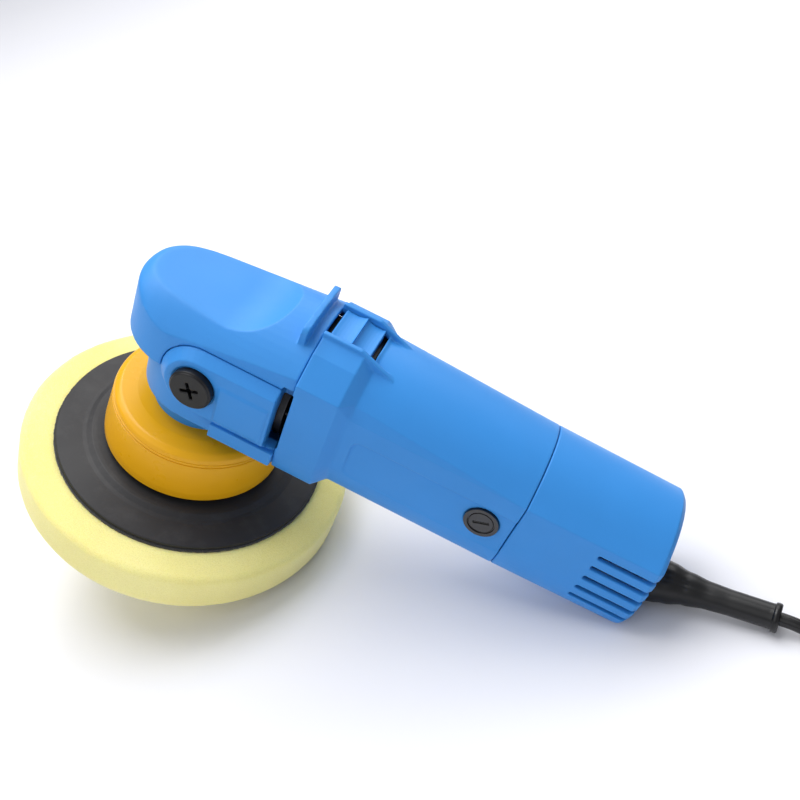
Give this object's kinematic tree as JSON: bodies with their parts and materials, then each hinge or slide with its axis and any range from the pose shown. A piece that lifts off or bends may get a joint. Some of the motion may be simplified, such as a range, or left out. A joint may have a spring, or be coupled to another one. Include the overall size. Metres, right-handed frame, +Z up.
{
  "type": "rotary polisher",
  "caption": "Corded rotary car polisher: foam pad on a rubber plate, yellow guard, blue gear head and motor housing, slide switch on top, mains cord and plug",
  "frame": {"origin": "centre of the footprint, on the surface the tool rests on", "axes": "X runs from the gear head to the rear end of the motor housing, Y to the left of the tool, Z up; the tool rests tipped back on the pad's rim and the rear end"},
  "size_m": [0.5304, 0.284, 0.1827],
  "materials": {
    "foam": "open-cell foam",
    "loop": "hook and loop",
    "plate_rubber": "matt",
    "steel": "turned",
    "gear_steel": "cut teeth, oiled",
    "dark_screw": "blackened",
    "blue_plastic": "fine moulded texture",
    "yellow_plastic": "smooth",
    "black_plastic": "moulded",
    "black_gloss": "smooth",
    "fan_plastic": "moulded",
    "laminated_steel": "stacked sheet",
    "copper": "lacquered wire",
    "brass": "sheet",
    "carbon": "pressed carbon",
    "relief_rubber": "satin",
    "cord_rubber": "satin",
    "tie_fabric": "woven",
    "plug_rubber": "moulded",
    "pin_metal": "plated"
  },
  "bodies": {
    "root": {"lower_bearing": "steel", "upper_bearing": "steel", "bearing_plate": "blue_plastic", "bearing_plate_screws": "dark_screw", "guard": "yellow_plastic", "guard_screws": "dark_screw", "gear_housing": "blue_plastic", "head_cover": "blue_plastic", "handle_bolts": "black_plastic", "motor_housing": "blue_plastic", "rear_cover": "blue_plastic", "rear_screws": "dark_screw", "front_bearing": "steel", "rear_bearing": "steel", "baffle": "black_plastic", "stator": "laminated_steel", "field_coils": "copper", "brush_holders": "brass", "carbon_brushes": "carbon", "brush_springs": "steel", "brush_caps": "black_gloss", "switch_module": "black_plastic", "cord_clamp": "black_plastic", "clamp_screws": "dark_screw", "strain_relief": "relief_rubber", "cord_tube": "cord_rubber", "cord_coil": "cord_rubber", "cord_tie": "tie_fabric", "cord_tail": "cord_rubber", "plug": "plug_rubber", "plug_pins": "pin_metal"},
    "spindle": {"foam_pad": "foam", "loop_layer": "loop", "backing_plate": "plate_rubber", "plate_nut": "steel", "spindle": "steel", "bevel_gear": "gear_steel"},
    "rotor": {"rotor_shaft": "steel", "pinion": "gear_steel", "fan": "fan_plastic", "armature": "laminated_steel", "windings": "copper", "commutator": "copper"},
    "switch": {"slide_switch": "blue_plastic", "slider_base": "black_plastic", "link_rod": "black_plastic"}
  },
  "joints": [
    {"name": "spindle_turn", "type": "hinge", "parent": "root", "child": "spindle", "pos_m": [-0.07258, 0, 0.09187], "axis": [0.466, 0, 0.8848], "continuous": true},
    {"name": "rotor_turn", "type": "hinge", "parent": "root", "child": "rotor", "pos_m": [0.03943, 0, 0.08995], "axis": [0.8848, 0, -0.466], "continuous": true},
    {"name": "switch_slide", "type": "slide", "parent": "root", "child": "switch", "axis": [-0.8848, 0, 0.466], "range_m": [0, 0.002]}
  ],
  "couplings": [
    {"joint": "rotor_turn", "follows": "spindle_turn", "ratio": 3}
  ]
}
